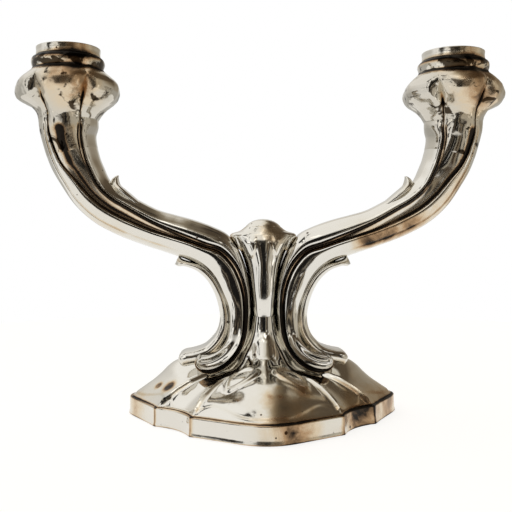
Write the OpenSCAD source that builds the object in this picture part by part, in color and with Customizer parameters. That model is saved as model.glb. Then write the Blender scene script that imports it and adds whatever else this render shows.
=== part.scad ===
// Two-light table candelabrum of pressed and soldered sheet on a weighted foot.
// Origin at the centre of the underside, +Z up, the arms along X, the front towards -Y.

/* [Candles] */
// Distance between the two candle axes
candle_spacing = 200; // [194:1:206]
// Radius of the candle bore
candle_bore_r = 11.5; // [11:0.1:11.6]
// Depth of the candle bore
candle_bore_depth = 22; // [18:1:24]

/* [Sockets] */
// Height at which the arm ends and the calyx begins
calyx_base = 150; // [148:1:152]
// Height of the calyx, from the arm to the collar ring
calyx_height = 25; // [23:1:27]
// Radius of the calyx across its lobes
calyx_lobe_r = 26; // [24:0.5:27]
// Radius of the calyx in the valleys between the lobes
calyx_valley_r = 20.5; // [19:0.5:22]
// Height of the collar ring
collar_height = 7.5; // [6:0.5:9]
// Largest radius of the collar ring
collar_r = 18.4; // [17.8:0.1:19]
// Outer radius of the upright band of the nozzle
band_r = 16.2; // [15.6:0.1:16.6]
// Height of the upright band of the nozzle
band_height = 4.5; // [3.5:0.5:6]
// Radial running clearance of the nozzle in its liner
nozzle_clearance = 0.08; // [0.05:0.01:0.1]

/* [Column] */
// Height of the column's shoulders
shoulder_height = 91; // [90:0.5:92]
// Height of the top of the domed cap
cap_height = 99.8; // [98:0.2:101]
// Radius of the domed cap
cap_r = 10.2; // [9.8:0.1:10.6]

/* [Foot] */
// Height of the upright rim of the foot
rim_height = 9.3; // [8:0.1:10]
// How far the rim flares outwards from its top to its bottom
rim_flare = 1.3; // [0.8:0.1:1.8]
// Height at which the dome of the foot meets the column
dome_height = 34; // [33:0.5:35]
// Share of its rise that the dome loses along the corner panels
panel_drop = 0.3; // [0.2:0.02:0.36]
// Thickness of the felt pad
felt_thickness = 1.5; // [1:0.1:2]

/* [Metal] */
// Wall thickness of the pressed shells
wall = 1.4; // [1.2:0.1:1.6]
// Radius of the tie rod
rod_r = 3; // [2.5:0.1:3.2]

/* [Hidden] */

silver = [0.80, 0.78, 0.73];
worn_silver = [0.72, 0.68, 0.60];
steel = [0.55, 0.56, 0.58];
brass = [0.72, 0.58, 0.33];
lead_grey = [0.36, 0.36, 0.38];
felt_green = [0.13, 0.24, 0.17];

seam = 0.05;
socket_x = candle_spacing / 2;
reach = socket_x / 100;
collar_base = calyx_base + calyx_height + seam;
collar_top = collar_base + collar_height;
nozzle_tube_r = candle_bore_r + 0.9;
liner_bore_r = nozzle_tube_r + nozzle_clearance;
liner_r = liner_bore_r + 1.1;
liner_base = calyx_base + 2;
nozzle_floor = collar_top + 1 - candle_bore_depth;
ferrule_height = 5;
screw_r = 2;
plate_base = felt_thickness + seam;
plate_thickness = 1.2;
recess_r = 11;
recess_top = plate_base + 8.4;
washer_thickness = 1.2;
nut_height = 5;
rod_bottom = felt_thickness + 0.6;
rod_top = cap_height - 5;
shoulder_top = shoulder_height + 3.4;

// Each row is a place along the arm, from the socket to the foot:
// under edge x, under edge z, upper edge x, upper edge z, half depth
arm_rows = [
    [115, 150, 84.8, 150, 14.8],
    [112.2, 138, 86.3, 142, 14],
    [108.4, 126.5, 84.5, 133, 13.2],
    [103, 116.5, 82.2, 127, 12.6],
    [96, 106.5, 78.6, 119.5, 12],
    [86.5, 98, 72.5, 114, 11.6],
    [74.5, 91.5, 65.4, 110.2, 11.4],
    [61, 86.3, 54.4, 104.6, 11.2],
    [51, 83, 45, 101.8, 11],
    [42, 79.6, 36, 99.4, 11],
    [34.5, 74.8, 26.4, 96, 11],
    [30, 69.6, 18.2, 91.6, 11],
    [26.4, 64.4, 12.4, 83.6, 11],
    [24.3, 59.4, 9, 75, 11.2],
    [23.1, 54.4, 6.6, 65.5, 11.4],
    [22.9, 50.2, 6, 56, 11.8],
    [23.4, 46.2, 6.9, 47.5, 12.8],
    [25.2, 41.6, 9, 41, 14.4],
    [28.4, 37.6, 12.4, 36, 16.4]
];
arm_steps = 30;

// Where the two grooves run on the arm's face, from -1 at the upper edge to 1 at the under edge,
// and how deep they are, at every third row
groove_rows = [
    [-0.53, 0.60, 1.0],
    [-0.45, 0.35, 1.0],
    [-0.38, 0.09, 0.9],
    [-0.12, 0.10, 0.8],
    [-0.30, 0.30, 0.7],
    [-0.50, 0.40, 0.7],
    [-0.50, 0.40, 0.5]
];

upper_leaf_rows = [
    [60.2, 107, 59.6, 108, 5],
    [66.4, 110.4, 65.4, 111.8, 5.6],
    [72.6, 113.2, 70.2, 115.2, 5.4],
    [77.6, 117, 73.2, 117.8, 4],
    [76.4, 120.4, 74.2, 120, 2.6],
    [74.9, 122, 74.4, 121.8, 1.2]
];

lower_leaf_rows = [
    [31, 71, 30.4, 72.4, 5.4],
    [35, 73, 33.6, 75.8, 6],
    [39.2, 74.9, 37.4, 78.4, 6],
    [42.2, 75.8, 40.2, 79.6, 5.4],
    [45, 76.5, 42.8, 80.4, 4.4]
];

// Half width, half depth and height up the column, from the foot to the shoulders
column_rows = [
    [12.2, 18, 34.1],
    [8.5, 15.4, 40],
    [6.4, 13.6, 46],
    [5.6, 12.6, 53],
    [5.6, 12.4, 58],
    [6.2, 12.4, 65],
    [8.6, 13, 75],
    [12, 14.2, 83.5],
    [15, 15.4, 88.4],
    [16.6, 16.4, 91]
];
column_steps = 16;

// A quarter of the foot's outline at the top of the rim, from the front to the side
lobe_front = [[0, 63.8], [9.6, 61.4], [19.6, 55.6], [28, 50.6], [35, 46.6]];
lobe_panel = [[38.6, 41], [43.6, 34.6], [47.6, 31.8]];
lobe_side = [[52.2, 28.8], [57.4, 20.6], [63, 12], [67, 4.6], [68.1, 0]];
quarter = concat(lobe_front, lobe_panel, lobe_side);

// Rise of a crest lobe and of a corner panel, as shares of the way in and up
dome_rise = [
    [0, 0], [0.08, 0.1], [0.17, 0.24], [0.26, 0.38], [0.33, 0.55], [0.41, 0.7],
    [0.52, 0.78], [0.66, 0.84], [0.85, 0.92], [1, 1]
];
dome_top_r = [13, 17];

// Rounded section of half width 1 and half depth 1: its depth at n, and its point at an angle
function bulge(n, power) = pow(max(0, 1 - pow(abs(n), power)), 1 / power);
function oval(angle, power) = [
    sign(cos(angle)) * pow(abs(cos(angle)), 2 / power),
    sign(sin(angle)) * pow(abs(sin(angle)), 2 / power)
];

// A smooth curve through rows of numbers, t counted in rows
function along(rows, t) =
    let (
        last = len(rows) - 1,
        i = min(floor(t), last - 1),
        f = t - i,
        b = rows[i],
        c = rows[i + 1],
        a = i > 0 ? rows[i - 1] : 2 * b - c,
        d = i + 2 <= last ? rows[i + 2] : 2 * c - b
    )
    (2 * b + (c - a) * f + (2 * a - 5 * b + 4 * c - d) * f * f + (3 * b - 3 * c + d - a) * f * f * f) / 2;

function resampled(rows, count) = [for (i = [0:count]) along(rows, i * (len(rows) - 1) / count)];

// A point of the arm's section: n runs from the upper edge (-1) to the under edge (1)
function arm_point(row, n, y) = [
    reach * ((row[0] + row[2]) + (row[0] - row[2]) * n) / 2,
    y,
    ((row[1] + row[3]) + (row[1] - row[3]) * n) / 2
];

// Closes a stack of rings into a solid with flat ends
module skin(rings) {
    count = len(rings[0]);
    last = len(rings) - 1;
    walls = [
        for (i = [0:last - 1], j = [0:count - 1])
            [i * count + j, (i + 1) * count + j, (i + 1) * count + (j + 1) % count, i * count + (j + 1) % count]
    ];
    low_end = [for (j = [0:count - 1]) j];
    high_end = [for (j = [count - 1:-1:0]) last * count + j];
    polyhedron(
        points = [for (ring = rings, p = ring) p],
        faces = concat([low_end], walls, [high_end]),
        convexity = 8
    );
}

// Closes a ring of rings, such as an open-topped shell, into a solid
module loop_skin(rings) {
    count = len(rings[0]);
    turns = len(rings);
    walls = [
        for (i = [0:turns - 1], j = [0:count - 1])
            let (next = (i + 1) % turns)
            [i * count + j, next * count + j, next * count + (j + 1) % count, i * count + (j + 1) % count]
    ];
    polyhedron(points = [for (ring = rings, p = ring) p], faces = walls, convexity = 8);
}

// ---- foot ----

function mirrored_outline() =
    let (
        n = len(quarter) - 1,
        right_front = [for (i = [0:n]) [quarter[i][0], -quarter[i][1]]],
        right_back = [for (i = [n - 1:-1:0]) quarter[i]],
        left_back = [for (i = [1:n]) [-quarter[i][0], quarter[i][1]]],
        left_front = [for (i = [n - 1:-1:1]) [-quarter[i][0], -quarter[i][1]]]
    )
    concat(right_front, right_back, left_back, left_front);

outline = mirrored_outline();

function grown(p, by) = p * (norm(p) + by) / norm(p);

// How much of a corner panel a direction holds: 0 on a crest, 1 in the panel
function panel_share(p) =
    let (side = abs(p[0]) / 68, front = abs(p[1]) / 64)
    pow(min(1, 2 * min(side, front) / (side + front) * 1.15), 1.5);

function dome_z(p, row, drop) =
    let (fade = 1 - pow(row[0], 4))
    rim_height + seam + (dome_height - rim_height) * row[1] * (1 - panel_drop * panel_share(p) * fade) - drop;

function dome_point(p, row, inset, drop) =
    let (
        top = [p[0] / norm(p) * dome_top_r[0], p[1] / norm(p) * dome_top_r[1]],
        at = grown(p, -inset) * (1 - row[0]) + grown(top, -inset) * row[0]
    )
    [at[0], at[1], dome_z(p, row, drop)];

module foot_dome() {
    shell = [
        for (p = outline) concat(
            [for (row = dome_rise) dome_point(p, row, 0, 0)],
            [for (i = [len(dome_rise) - 1:-1:0])
                dome_point(p, dome_rise[i], wall, i == 0 ? 0 : wall)]
        )
    ];
    color(silver) loop_skin(shell);
}

module foot_rim() {
    low = 0.4;
    shell = [
        for (p = outline) [
            for (corner = [[rim_flare, low], [0.2, rim_height], [-wall, rim_height], [rim_flare - wall - 0.2, low]])
                let (at = grown(p, corner[0])) [at[0], at[1], corner[1]]
        ]
    ];
    color(worn_silver) loop_skin(shell);
}

module base_plate() {
    color(steel) difference() {
        union() {
            translate([0, 0, plate_base]) linear_extrude(plate_thickness)
                polygon([for (p = outline) grown(p, -0.9)]);
            translate([0, 0, plate_base]) cylinder(r = recess_r + plate_thickness, h = recess_top - plate_base, $fn = 64);
        }
        translate([0, 0, plate_base - 1]) cylinder(r = recess_r, h = recess_top - plate_base - plate_thickness + 1, $fn = 64);
        cylinder(r = rod_r + 0.2, h = recess_top + 1, $fn = 48);
    }
}

module ballast() {
    low_r = 42;
    high_r = 33;
    low = plate_base + plate_thickness + seam;
    high = 15;
    hole_r = recess_r + plate_thickness + 0.3;
    color(lead_grey) rotate_extrude($fn = 72)
        polygon([[hole_r, low], [low_r, low], [low_r, low + 4], [high_r, high], [hole_r, high]]);
}

module felt_pad() {
    color(felt_green) linear_extrude(felt_thickness)
        polygon([for (p = outline) grown(p, -0.8)]);
}

// ---- tie rod ----

module tie_rod() {
    color(steel) translate([0, 0, rod_bottom]) cylinder(r = rod_r, h = rod_top - rod_bottom, $fn = 48);
}

module tie_rod_washer() {
    color(steel) translate([0, 0, recess_top - plate_thickness - seam - washer_thickness]) difference() {
        cylinder(r = 8, h = washer_thickness, $fn = 48);
        translate([0, 0, -1]) cylinder(r = rod_r + 0.15, h = washer_thickness + 2, $fn = 48);
    }
}

module tie_rod_nut() {
    color(brass) translate([0, 0, recess_top - plate_thickness - 2 * seam - washer_thickness - nut_height]) difference() {
        cylinder(r = 5.8, h = nut_height, $fn = 6);
        translate([0, 0, -1]) cylinder(r = rod_r + 0.03, h = nut_height + 2, $fn = 48);
    }
}

// ---- column ----

function column_ring(row, thickness, start, stop) = [
    for (i = [0:8])
        let (p = oval(start + (stop - start) * i / 8, 2.5))
        [reach * (row[0] - thickness) * p[0], (row[1] - thickness) * p[1], row[2]]
];

// Half of the column: the side walls, and the shoulders that close in towards the cap
module column_half() {
    rows = concat(
        resampled(column_rows, column_steps),
        [[15.6, 15.6, 92.2], [13, 13, shoulder_top - 0.8], [10.6, 10.6, shoulder_top]]
    );
    last = len(rows) - 1;
    rings = [
        for (i = [0:last])
            let (
                row = rows[i],
                inner = i <= column_steps - 1 ? row : row - [0, 0, wall],
                thickness = i <= column_steps ? wall : (i == last ? 4.2 : wall + 1.4)
            )
            concat(column_ring(row, 0, 180, 360), column_ring(inner, thickness, 360, 180))
    ];
    skin(rings);
}

module column_front() {
    color(silver) translate([0, -seam, 0]) column_half();
}

module column_back() {
    color(silver) mirror([0, 1, 0]) translate([0, -seam, 0]) column_half();
}

module column_cap() {
    rise = cap_height - shoulder_top - seam;
    sphere_r = (cap_r * cap_r + rise * rise) / (2 * rise);
    boss_r = 5;
    boss_depth = 8;
    color(silver) translate([0, 0, shoulder_top + seam]) difference() {
        union() {
            intersection() {
                translate([0, 0, rise - sphere_r]) sphere(r = sphere_r, $fn = 96);
                cylinder(r = cap_r, h = rise + 1, $fn = 64);
            }
            translate([0, 0, -boss_depth]) cylinder(r = boss_r, h = boss_depth + 1, $fn = 48);
        }
        translate([0, 0, -boss_depth - 1]) cylinder(r = rod_r + 0.03, h = rod_top - shoulder_top + boss_depth + 1.4, $fn = 48);
    }
}

// ---- arms, drawn on the right and mirrored for the left ----

module left() {
    mirror([1, 0, 0]) children();
}

strip_points = 4;

// Depth of the arm's face at n, with convex strips between the edges and the grooves
function strip_samples(grooves) = [
    for (k = [0:2], j = [0:strip_points - (k < 2 ? 1 : 0)])
        let (
            f = j / strip_points,
            ends = [-1, grooves[0], grooves[1], 1],
            eased = k == 0 ? 1 - cos(90 * f) : (k == 2 ? sin(90 * f) : f),
            n = ends[k] + (ends[k + 1] - ends[k]) * eased,
            open_edge = (k == 0 && f < 0.5) || (k == 2 && f > 0.5),
            cut = open_edge ? 0 : grooves[2] * (1 - sin(180 * f))
        )
        [n, cut]
];

function arm_ring(row, grooves) = concat(
    [for (s = strip_samples(grooves)) arm_point(row, s[0], -(row[4] * bulge(s[0], 2.4) - min(s[1], row[4] * bulge(s[0], 2.4))))],
    [for (i = [8:-1:0])
        let (p = oval(180 + 180 * i / 8, 2.4), shrink = 1 - wall * 2 / norm([row[0] - row[2], row[1] - row[3]]))
        arm_point(row, p[0] * shrink, p[1] * (row[4] - wall - 0.6))]
);

module arm_half() {
    rings = [
        for (i = [0:arm_steps])
            let (t = i / arm_steps)
            arm_ring(along(arm_rows, t * (len(arm_rows) - 1)), along(groove_rows, t * (len(groove_rows) - 1)))
    ];
    skin(rings);
}

module arm_front() {
    color(silver) translate([0, -seam, 0]) arm_half();
}

module arm_back() {
    color(silver) mirror([0, 1, 0]) translate([0, -seam, 0]) arm_half();
}

function leaf_ring(row) = [
    for (i = [0:11])
        let (p = oval(30 * i, 2.2))
        arm_point(row, p[0], p[1] * row[4])
];

module leaf(rows) {
    skin([for (row = resampled(rows, 2 * len(rows))) leaf_ring(row)]);
}

module upper_leaf() {
    color(silver) leaf(upper_leaf_rows);
}

module lower_leaf() {
    color(silver) leaf(lower_leaf_rows);
}

// A roll that lies front to back
module roll(x, z, r, front, back) {
    translate([reach * x, back, z]) rotate([90, 0, 0]) cylinder(r = r, h = back + front, $fn = 40);
}

module scroll_foot() {
    volute = [29.4, 28.8, 5];
    end_roll = [40, 31, 2.9];
    volute_front = 20;
    volute_width = 6;
    web_half_depth = 15.4;
    web = [
        [12.5, 35.8], [28.4, 37.4], [32.4, 35.2], [37, 34.1], [40, 33.8],
        [40, 30], [36, 30.4], [29, 30.8], [20, 32.8], [13, 34.8]
    ];
    color(silver) union() {
        for (y = [-volute_front, volute_front - volute_width])
            roll(volute[0], volute[1], volute[2], -y, y + volute_width);
        roll(end_roll[0], end_roll[1], end_roll[2], 9, 9);
        translate([0, web_half_depth, 0]) rotate([90, 0, 0])
            linear_extrude(2 * web_half_depth) polygon([for (p = web) [reach * p[0], p[1]]]);
    }
}

// ---- sockets ----

module at_socket() {
    translate([socket_x, 0, 0]) children();
}

// Shares of the height, of the reach to the lobes and of the reach to the valleys
calyx_profile = [
    [0, 0, 0], [0.12, 0.17, 0.15], [0.22, 0.35, 0.25], [0.3, 0.6, 0.4], [0.4, 0.91, 0.7],
    [0.56, 1, 0.95], [0.72, 0.91, 1], [0.8, 0.77, 0.9], [0.88, 0.54, 0.7], [1, 0.2, 0.4]
];
calyx_throat_r = 15.2;
calyx_turn = 48;

function calyx_r(row, angle) =
    let (lobe = pow(abs(cos(2 * angle)), 0.8))
    calyx_throat_r + (calyx_lobe_r - calyx_throat_r) * row[1] * lobe
        + (calyx_valley_r - calyx_throat_r) * row[2] * (1 - lobe);

function calyx_point(row, angle, inset) =
    let (r = calyx_r(row, angle) - inset)
    [r * cos(angle), r * sin(angle), calyx_base + seam + row[0] * (calyx_height - seam)];

module calyx() {
    shell = [
        for (i = [0:calyx_turn - 1])
            let (angle = 360 * i / calyx_turn)
            concat(
                [for (row = calyx_profile) calyx_point(row, angle, 0)],
                [for (k = [len(calyx_profile) - 1:-2:0]) calyx_point(calyx_profile[k], angle, wall)],
                [calyx_point(calyx_profile[0], angle, wall)]
            )
    ];
    color(worn_silver) at_socket() loop_skin(shell);
}

module collar() {
    bead_z = collar_base + 0.6 * collar_height;
    bead_r = 2.4;
    inner_r = liner_r + 0.05;
    color(silver) at_socket() rotate_extrude($fn = 96) difference() {
        union() {
            translate([inner_r, collar_base]) square([collar_r - bead_r - inner_r + 0.9, collar_height]);
            translate([collar_r - bead_r, bead_z]) circle(r = bead_r, $fn = 32);
        }
        translate([0, collar_top]) square([collar_r + 1, 3]);
    }
}

module liner() {
    floor_thickness = 1.5;
    color(brass) at_socket() translate([0, 0, liner_base]) difference() {
        cylinder(r = liner_r, h = collar_top - liner_base - seam, $fn = 72);
        translate([0, 0, floor_thickness]) cylinder(r = liner_bore_r, h = collar_top, $fn = 72);
        translate([0, 0, -1]) cylinder(r = screw_r + 0.2, h = floor_thickness + 2, $fn = 32);
    }
}

module ferrule() {
    color(brass) at_socket() translate([0, 0, liner_base - seam - ferrule_height]) difference() {
        cylinder(r = 12.6, h = ferrule_height, $fn = 48);
        translate([0, 0, -1]) cylinder(r = screw_r + 0.03, h = ferrule_height + 2, $fn = 32);
    }
}

module socket_screw() {
    head_height = 2;
    color(steel) at_socket() translate([0, 0, liner_base + 1.5 + seam]) union() {
        cylinder(r = 4, h = head_height, $fn = 40);
        translate([0, 0, -6]) cylinder(r = screw_r, h = 6.5, $fn = 32);
    }
}

module nozzle() {
    floor_thickness = 1;
    flange_thickness = 1;
    band_wall = 1;
    color(silver) at_socket() difference() {
        union() {
            translate([0, 0, nozzle_floor - floor_thickness])
                cylinder(r = nozzle_tube_r, h = collar_top + flange_thickness - nozzle_floor + floor_thickness, $fn = 72);
            translate([0, 0, collar_top + seam]) cylinder(r = band_r, h = band_height, $fn = 96);
        }
        translate([0, 0, collar_top + seam + flange_thickness]) cylinder(r = band_r - band_wall, h = band_height, $fn = 96);
        translate([0, 0, nozzle_floor]) cylinder(r = candle_bore_r, h = candle_bore_depth + 2, $fn = 72);
    }
}

foot_dome();
foot_rim();
base_plate();
ballast();
felt_pad();
tie_rod();
tie_rod_washer();
tie_rod_nut();
column_front();
column_back();
column_cap();
left() arm_front();  // left_arm_front
left() arm_back();  // left_arm_back
left() upper_leaf();  // left_upper_leaf
left() lower_leaf();  // left_lower_leaf
left() scroll_foot();  // left_scroll_foot
left() calyx();  // left_calyx
left() collar();  // left_collar
left() liner();  // left_liner
left() ferrule();  // left_ferrule
left() socket_screw();  // left_socket_screw
left() nozzle();  // left_nozzle
arm_front();  // right_arm_front
arm_back();  // right_arm_back
upper_leaf();  // right_upper_leaf
lower_leaf();  // right_lower_leaf
scroll_foot();  // right_scroll_foot
calyx();  // right_calyx
collar();  // right_collar
liner();  // right_liner
ferrule();  // right_ferrule
socket_screw();  // right_socket_screw
nozzle();  // right_nozzle
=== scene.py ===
"""Looks of a two-light candelabrum in aged silver plate: fine shells, relief and materials on the CAD frame.

Shapes are in millimetres in the part's own frame: x along the arms, -y to the front, z up. Every arm piece is
drawn on the right (+x) and mirrored for the left.
"""

import math

import bpy
import numpy as np
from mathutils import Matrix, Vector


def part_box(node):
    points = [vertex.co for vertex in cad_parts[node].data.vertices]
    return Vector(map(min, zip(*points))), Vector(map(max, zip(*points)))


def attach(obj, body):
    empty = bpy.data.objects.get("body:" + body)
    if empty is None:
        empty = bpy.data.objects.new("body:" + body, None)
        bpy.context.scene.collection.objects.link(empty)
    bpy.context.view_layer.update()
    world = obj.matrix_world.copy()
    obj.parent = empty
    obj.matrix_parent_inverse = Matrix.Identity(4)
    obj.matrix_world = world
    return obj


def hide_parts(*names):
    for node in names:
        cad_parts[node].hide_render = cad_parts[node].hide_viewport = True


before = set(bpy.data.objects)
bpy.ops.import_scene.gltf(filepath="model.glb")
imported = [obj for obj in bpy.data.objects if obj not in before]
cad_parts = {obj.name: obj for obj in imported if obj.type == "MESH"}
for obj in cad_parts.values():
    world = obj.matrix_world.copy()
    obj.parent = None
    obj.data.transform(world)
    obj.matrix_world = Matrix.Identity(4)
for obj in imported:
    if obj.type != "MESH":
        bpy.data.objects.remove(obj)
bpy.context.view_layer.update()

MM = 0.001
RIGHT, LEFT = 1, -1
FRONT, BACK = -1, 1


def low_high(node):
    """Lowest and highest corner of a CAD node in millimetres."""
    low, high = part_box(node)
    return np.array(low) / MM, np.array(high) / MM


# ---- sizes taken from the frame ----

nozzle_low, nozzle_high = low_high("right_nozzle")
collar_low, collar_high = low_high("right_collar")
liner_low, liner_high = low_high("right_liner")
rim_low, rim_high = low_high("foot_rim")

SOCKET_X = (liner_low[0] + liner_high[0]) / 2
BAND_R = (nozzle_high[0] - nozzle_low[0]) / 2
NOZZLE_FLOOR, BAND_TOP = nozzle_low[2], nozzle_high[2]
COLLAR_R = (collar_high[0] - collar_low[0]) / 2
COLLAR_BASE, COLLAR_TOP = collar_low[2], collar_high[2]
CALYX_BASE = low_high("right_calyx")[0][2]
LINER_R = (liner_high[0] - liner_low[0]) / 2
RIM_BOTTOM, RIM_TOP = rim_low[2], rim_high[2]
CAP_TOP = low_high("column_cap")[1][2]
CANDLE_BORE_R = 11.5
NOZZLE_TUBE_R = LINER_R - 1.18


# ---- curves and fields ----


def along(rows, t):
    """Points of the smooth curve through rows of numbers, t counted in rows."""
    rows = np.asarray(rows, float)
    t = np.asarray(t, float)
    i = np.clip(t.astype(int), 0, len(rows) - 2)
    f = (t - i)[..., None]
    ends = np.vstack([2 * rows[0] - rows[1], rows, 2 * rows[-1] - rows[-2]])
    a, b, c, d = (ends[i + k] for k in range(4))
    return (2 * b + (c - a) * f + (2 * a - 5 * b + 4 * c - d) * f**2 + (3 * b - 3 * c + d - a) * f**3) / 2


def resampled(rows, count):
    return along(rows, np.linspace(0, len(rows) - 1, count))


def ease(x, low, high):
    """0 below low, 1 above high, smooth between."""
    t = np.clip((np.asarray(x, float) - low) / (high - low), 0, 1)
    return t * t * (3 - 2 * t)


def bell(x, width):
    return np.exp(-((np.asarray(x, float) / width) ** 2))


WAVES_MIXED, WAVE_SPREAD, WAVE_SCALE = 7, (0.6, 1.6), 3


def waves(points, size, seed):
    """A smooth field between about -1 and 1 that repeats nowhere near the object, from a few plane waves."""
    random = np.random.default_rng(seed)
    total = np.zeros(points.shape[:-1])
    for _ in range(WAVES_MIXED):
        direction = random.normal(size=3)
        direction /= np.linalg.norm(direction)
        phase = points @ direction * (2 * math.pi / size) * random.uniform(*WAVE_SPREAD)
        total += np.sin(phase + random.uniform(0, 6.3))
    return total / WAVE_SCALE


def dented(points, dents):
    """Waves of several sizes together; each dent is (depth in mm, size in mm, seed)."""
    return sum(depth * waves(points, size, seed) for depth, size, seed in dents)


def outward(points, axis_x):
    """Unit vectors away from the upright axis at axis_x."""
    away = points - [axis_x, 0, 0]
    away[..., 2] = 0
    return away / np.maximum(np.linalg.norm(away, axis=-1, keepdims=True), 1e-6)


def oval(count, power_n, power_y):
    """The two coordinates, from -1 to 1, of points round a squarish oval."""
    angle = np.linspace(0, 2 * math.pi, count, endpoint=False)
    n = np.sign(np.cos(angle)) * np.abs(np.cos(angle)) ** power_n
    y = np.sign(np.sin(angle)) * np.abs(np.sin(angle)) ** power_y
    return n, y


def lofted(rows, spread, y):
    """Rings between two edges; each row holds x and z of both edges, then the half depth."""
    under, upper = rows[:, None, 0:2], rows[:, None, 2:4]
    xz = (under + upper) / 2 + (under - upper) / 2 * spread[..., None]
    return np.stack([xz[..., 0], rows[:, None, 4] * y[None, :], xz[..., 1]], -1)


# The most tarnish and painted dark reflection a point may carry, and the places that carry more, partly
# tarnish and partly painted dark reflections: centre, radius in mm, strength
TARNISH_AND_REFLECTION_LIMIT = 2
TARNISH_AND_REFLECTION_PATCHES = [
    ((106, -10, 112), 13, 0.8),
    ((80, -11, 98), 8, 0.9),
    ((67, -11, 91.5), 8, 1.65),
    ((54, -11, 88), 8, 1.45),
    ((108, -18, 166), 16, 0.8),
    ((-94, -18, 168), 14, 0.8),
    ((-92, -16, 184), 9, 0.8),
    ((104, -16, 184), 10, 0.5),
    ((4, -10, 97), 9, 0.6),
    ((8, -16, 90), 7, 0.7),
    ((12, -62, 6), 14, 1.0),
    ((47, -36, 6), 13, 1.2),
    ((66, -10, 6), 14, 0.9),
    ((-66, -10, 6), 12, 0.5),
    ((52, -20, 20), 16, 0.35),
    ((3, -52, 17), 8, 0.55),
    ((12, -40, 24), 10, 0.5),
    ((1, -51, 18), 1.5, 1.3),
    ((5, -46, 21), 1.2, 1.3),
    ((5.5, -51, 18), 1.2, 1.3),
    ((17, -44, 19), 4, 1.0),
    ((-47.5, -18, 17.4), 3.3, 3.5),
    ((-53.2, -11, 16.4), 2.0, 3.5),
    ((24, -14, 44), 10, 0.4),
    ((92, 12, 104), 20, 0.7),
    ((-80, 12, 96), 24, 0.6),
    ((-20, 50, 14), 20, 0.5),
]


def patch_tarnish_and_reflection(points):
    total = np.zeros(points.shape[:-1])
    for centre, radius, strength in TARNISH_AND_REFLECTION_PATCHES:
        distance = np.linalg.norm(points - np.array(centre, float), axis=-1)
        total += strength * np.exp(-((distance / radius) ** 2))
    return total


# ---- meshes ----


def mesh_piece(name, points, faces, tarnish_and_reflection, sharp_angle, sharp_columns):
    """An object of its own from points in mm, with a value of tarnish and painted dark reflection at each
    point.

    sharp_columns, as (ring size, columns), keeps only those lengthwise edges sharp.
    """
    mesh = bpy.data.meshes.new(name)
    mesh.from_pydata((points * MM).tolist(), [], faces)
    mesh.polygons.foreach_set("use_smooth", [True] * len(mesh.polygons))
    values = mesh.attributes.new("tarnish_and_reflection", "FLOAT", "POINT")
    tarnish_and_reflection = np.clip(tarnish_and_reflection + patch_tarnish_and_reflection(points), 0, TARNISH_AND_REFLECTION_LIMIT)
    values.data.foreach_set("value", tarnish_and_reflection.astype(np.float32))
    if sharp_columns:
        ends = np.zeros(len(mesh.edges) * 2, np.int32)
        mesh.edges.foreach_get("vertices", ends)
        column = ends.reshape(-1, 2) % sharp_columns[0]
        sharp = (column[:, 0] == column[:, 1]) & np.isin(column[:, 0], sharp_columns[1])
        marks = mesh.attributes.new("sharp_edge", "BOOLEAN", "EDGE")
        marks.data.foreach_set("value", sharp)
    else:
        mesh.set_sharp_from_angle(angle=math.radians(sharp_angle))
    mesh.validate()
    piece = bpy.data.objects.new(name, mesh)
    bpy.context.scene.collection.objects.link(piece)
    return piece


def grid_faces(rings, count, closed_rings=False, flip=False):
    """Quads over closed rings of count points, with the two ends capped unless the rings close too."""
    faces = []
    for i in range(rings if closed_rings else rings - 1):
        k = (i + 1) % rings
        for j in range(count):
            n = (j + 1) % count
            faces.append((i * count + j, k * count + j, k * count + n, i * count + n))
    if not closed_rings:
        faces.append(tuple(range(count)))
        faces.append(tuple((rings - 1) * count + j for j in reversed(range(count))))
    return [tuple(reversed(f)) for f in faces] if flip else faces


def grid_piece(
    name, grid, tarnish_and_reflection, closed_rings=False, side=RIGHT, face=FRONT, sharp_angle=38, sharp_at=None
):
    """A closed skin over a grid of rings, mirrored to its side and face."""
    rings, count = grid.shape[:2]
    darkness = np.broadcast_to(tarnish_and_reflection, (rings, count)).reshape(-1)
    points = (grid * [side, -face, 1]).reshape(-1, 3)
    faces = grid_faces(rings, count, closed_rings, flip=side * face > 0)
    return mesh_piece(name, points, faces, darkness, sharp_angle, sharp_at and (count, sharp_at))


LATHE_DENTS = [(1, 21, 5), (0.6, 6.5, 8), (0.25, 3, 12)]


def lathe_piece(name, profile, axis_x, dents, tarnish_and_reflection, turns=192, side=RIGHT):
    """A closed solid of revolution: profile is a closed loop of (radius, z) in mm, dents a depth in mm."""
    angle = np.linspace(0, 2 * math.pi, turns, endpoint=False)[:, None]
    x, y = axis_x + profile[:, 0] * np.cos(angle), profile[:, 0] * np.sin(angle)
    grid = np.stack([x, y, np.broadcast_to(profile[:, 1], x.shape)], -1)
    grid = grid + outward(grid, axis_x) * dents * dented(grid, LATHE_DENTS)[..., None]
    return grid_piece(name, grid, tarnish_and_reflection[None, :], closed_rings=True, side=side)


def rounded(corners, radius, steps=5):
    """A closed outline with every corner rounded by an arc-like curve."""
    corners = np.asarray(corners, float)
    out = []
    for i, p in enumerate(corners):
        before, after = corners[i - 1], corners[(i + 1) % len(corners)]
        cut = min(radius, np.linalg.norm(before - p) * 0.45, np.linalg.norm(after - p) * 0.45)
        start = p + (before - p) / np.linalg.norm(before - p) * cut
        stop = p + (after - p) / np.linalg.norm(after - p) * cut
        for s in np.linspace(0, 1, steps):
            out.append((1 - s) ** 2 * start + 2 * s * (1 - s) * p + s * s * stop)
    return np.array(out)


def finish_piece(piece, body, slot, material, *nodes):
    piece.data.materials.clear()
    piece.data.materials.append(material)
    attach(piece, body)
    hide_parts(*nodes)


# ---- materials ----


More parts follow.
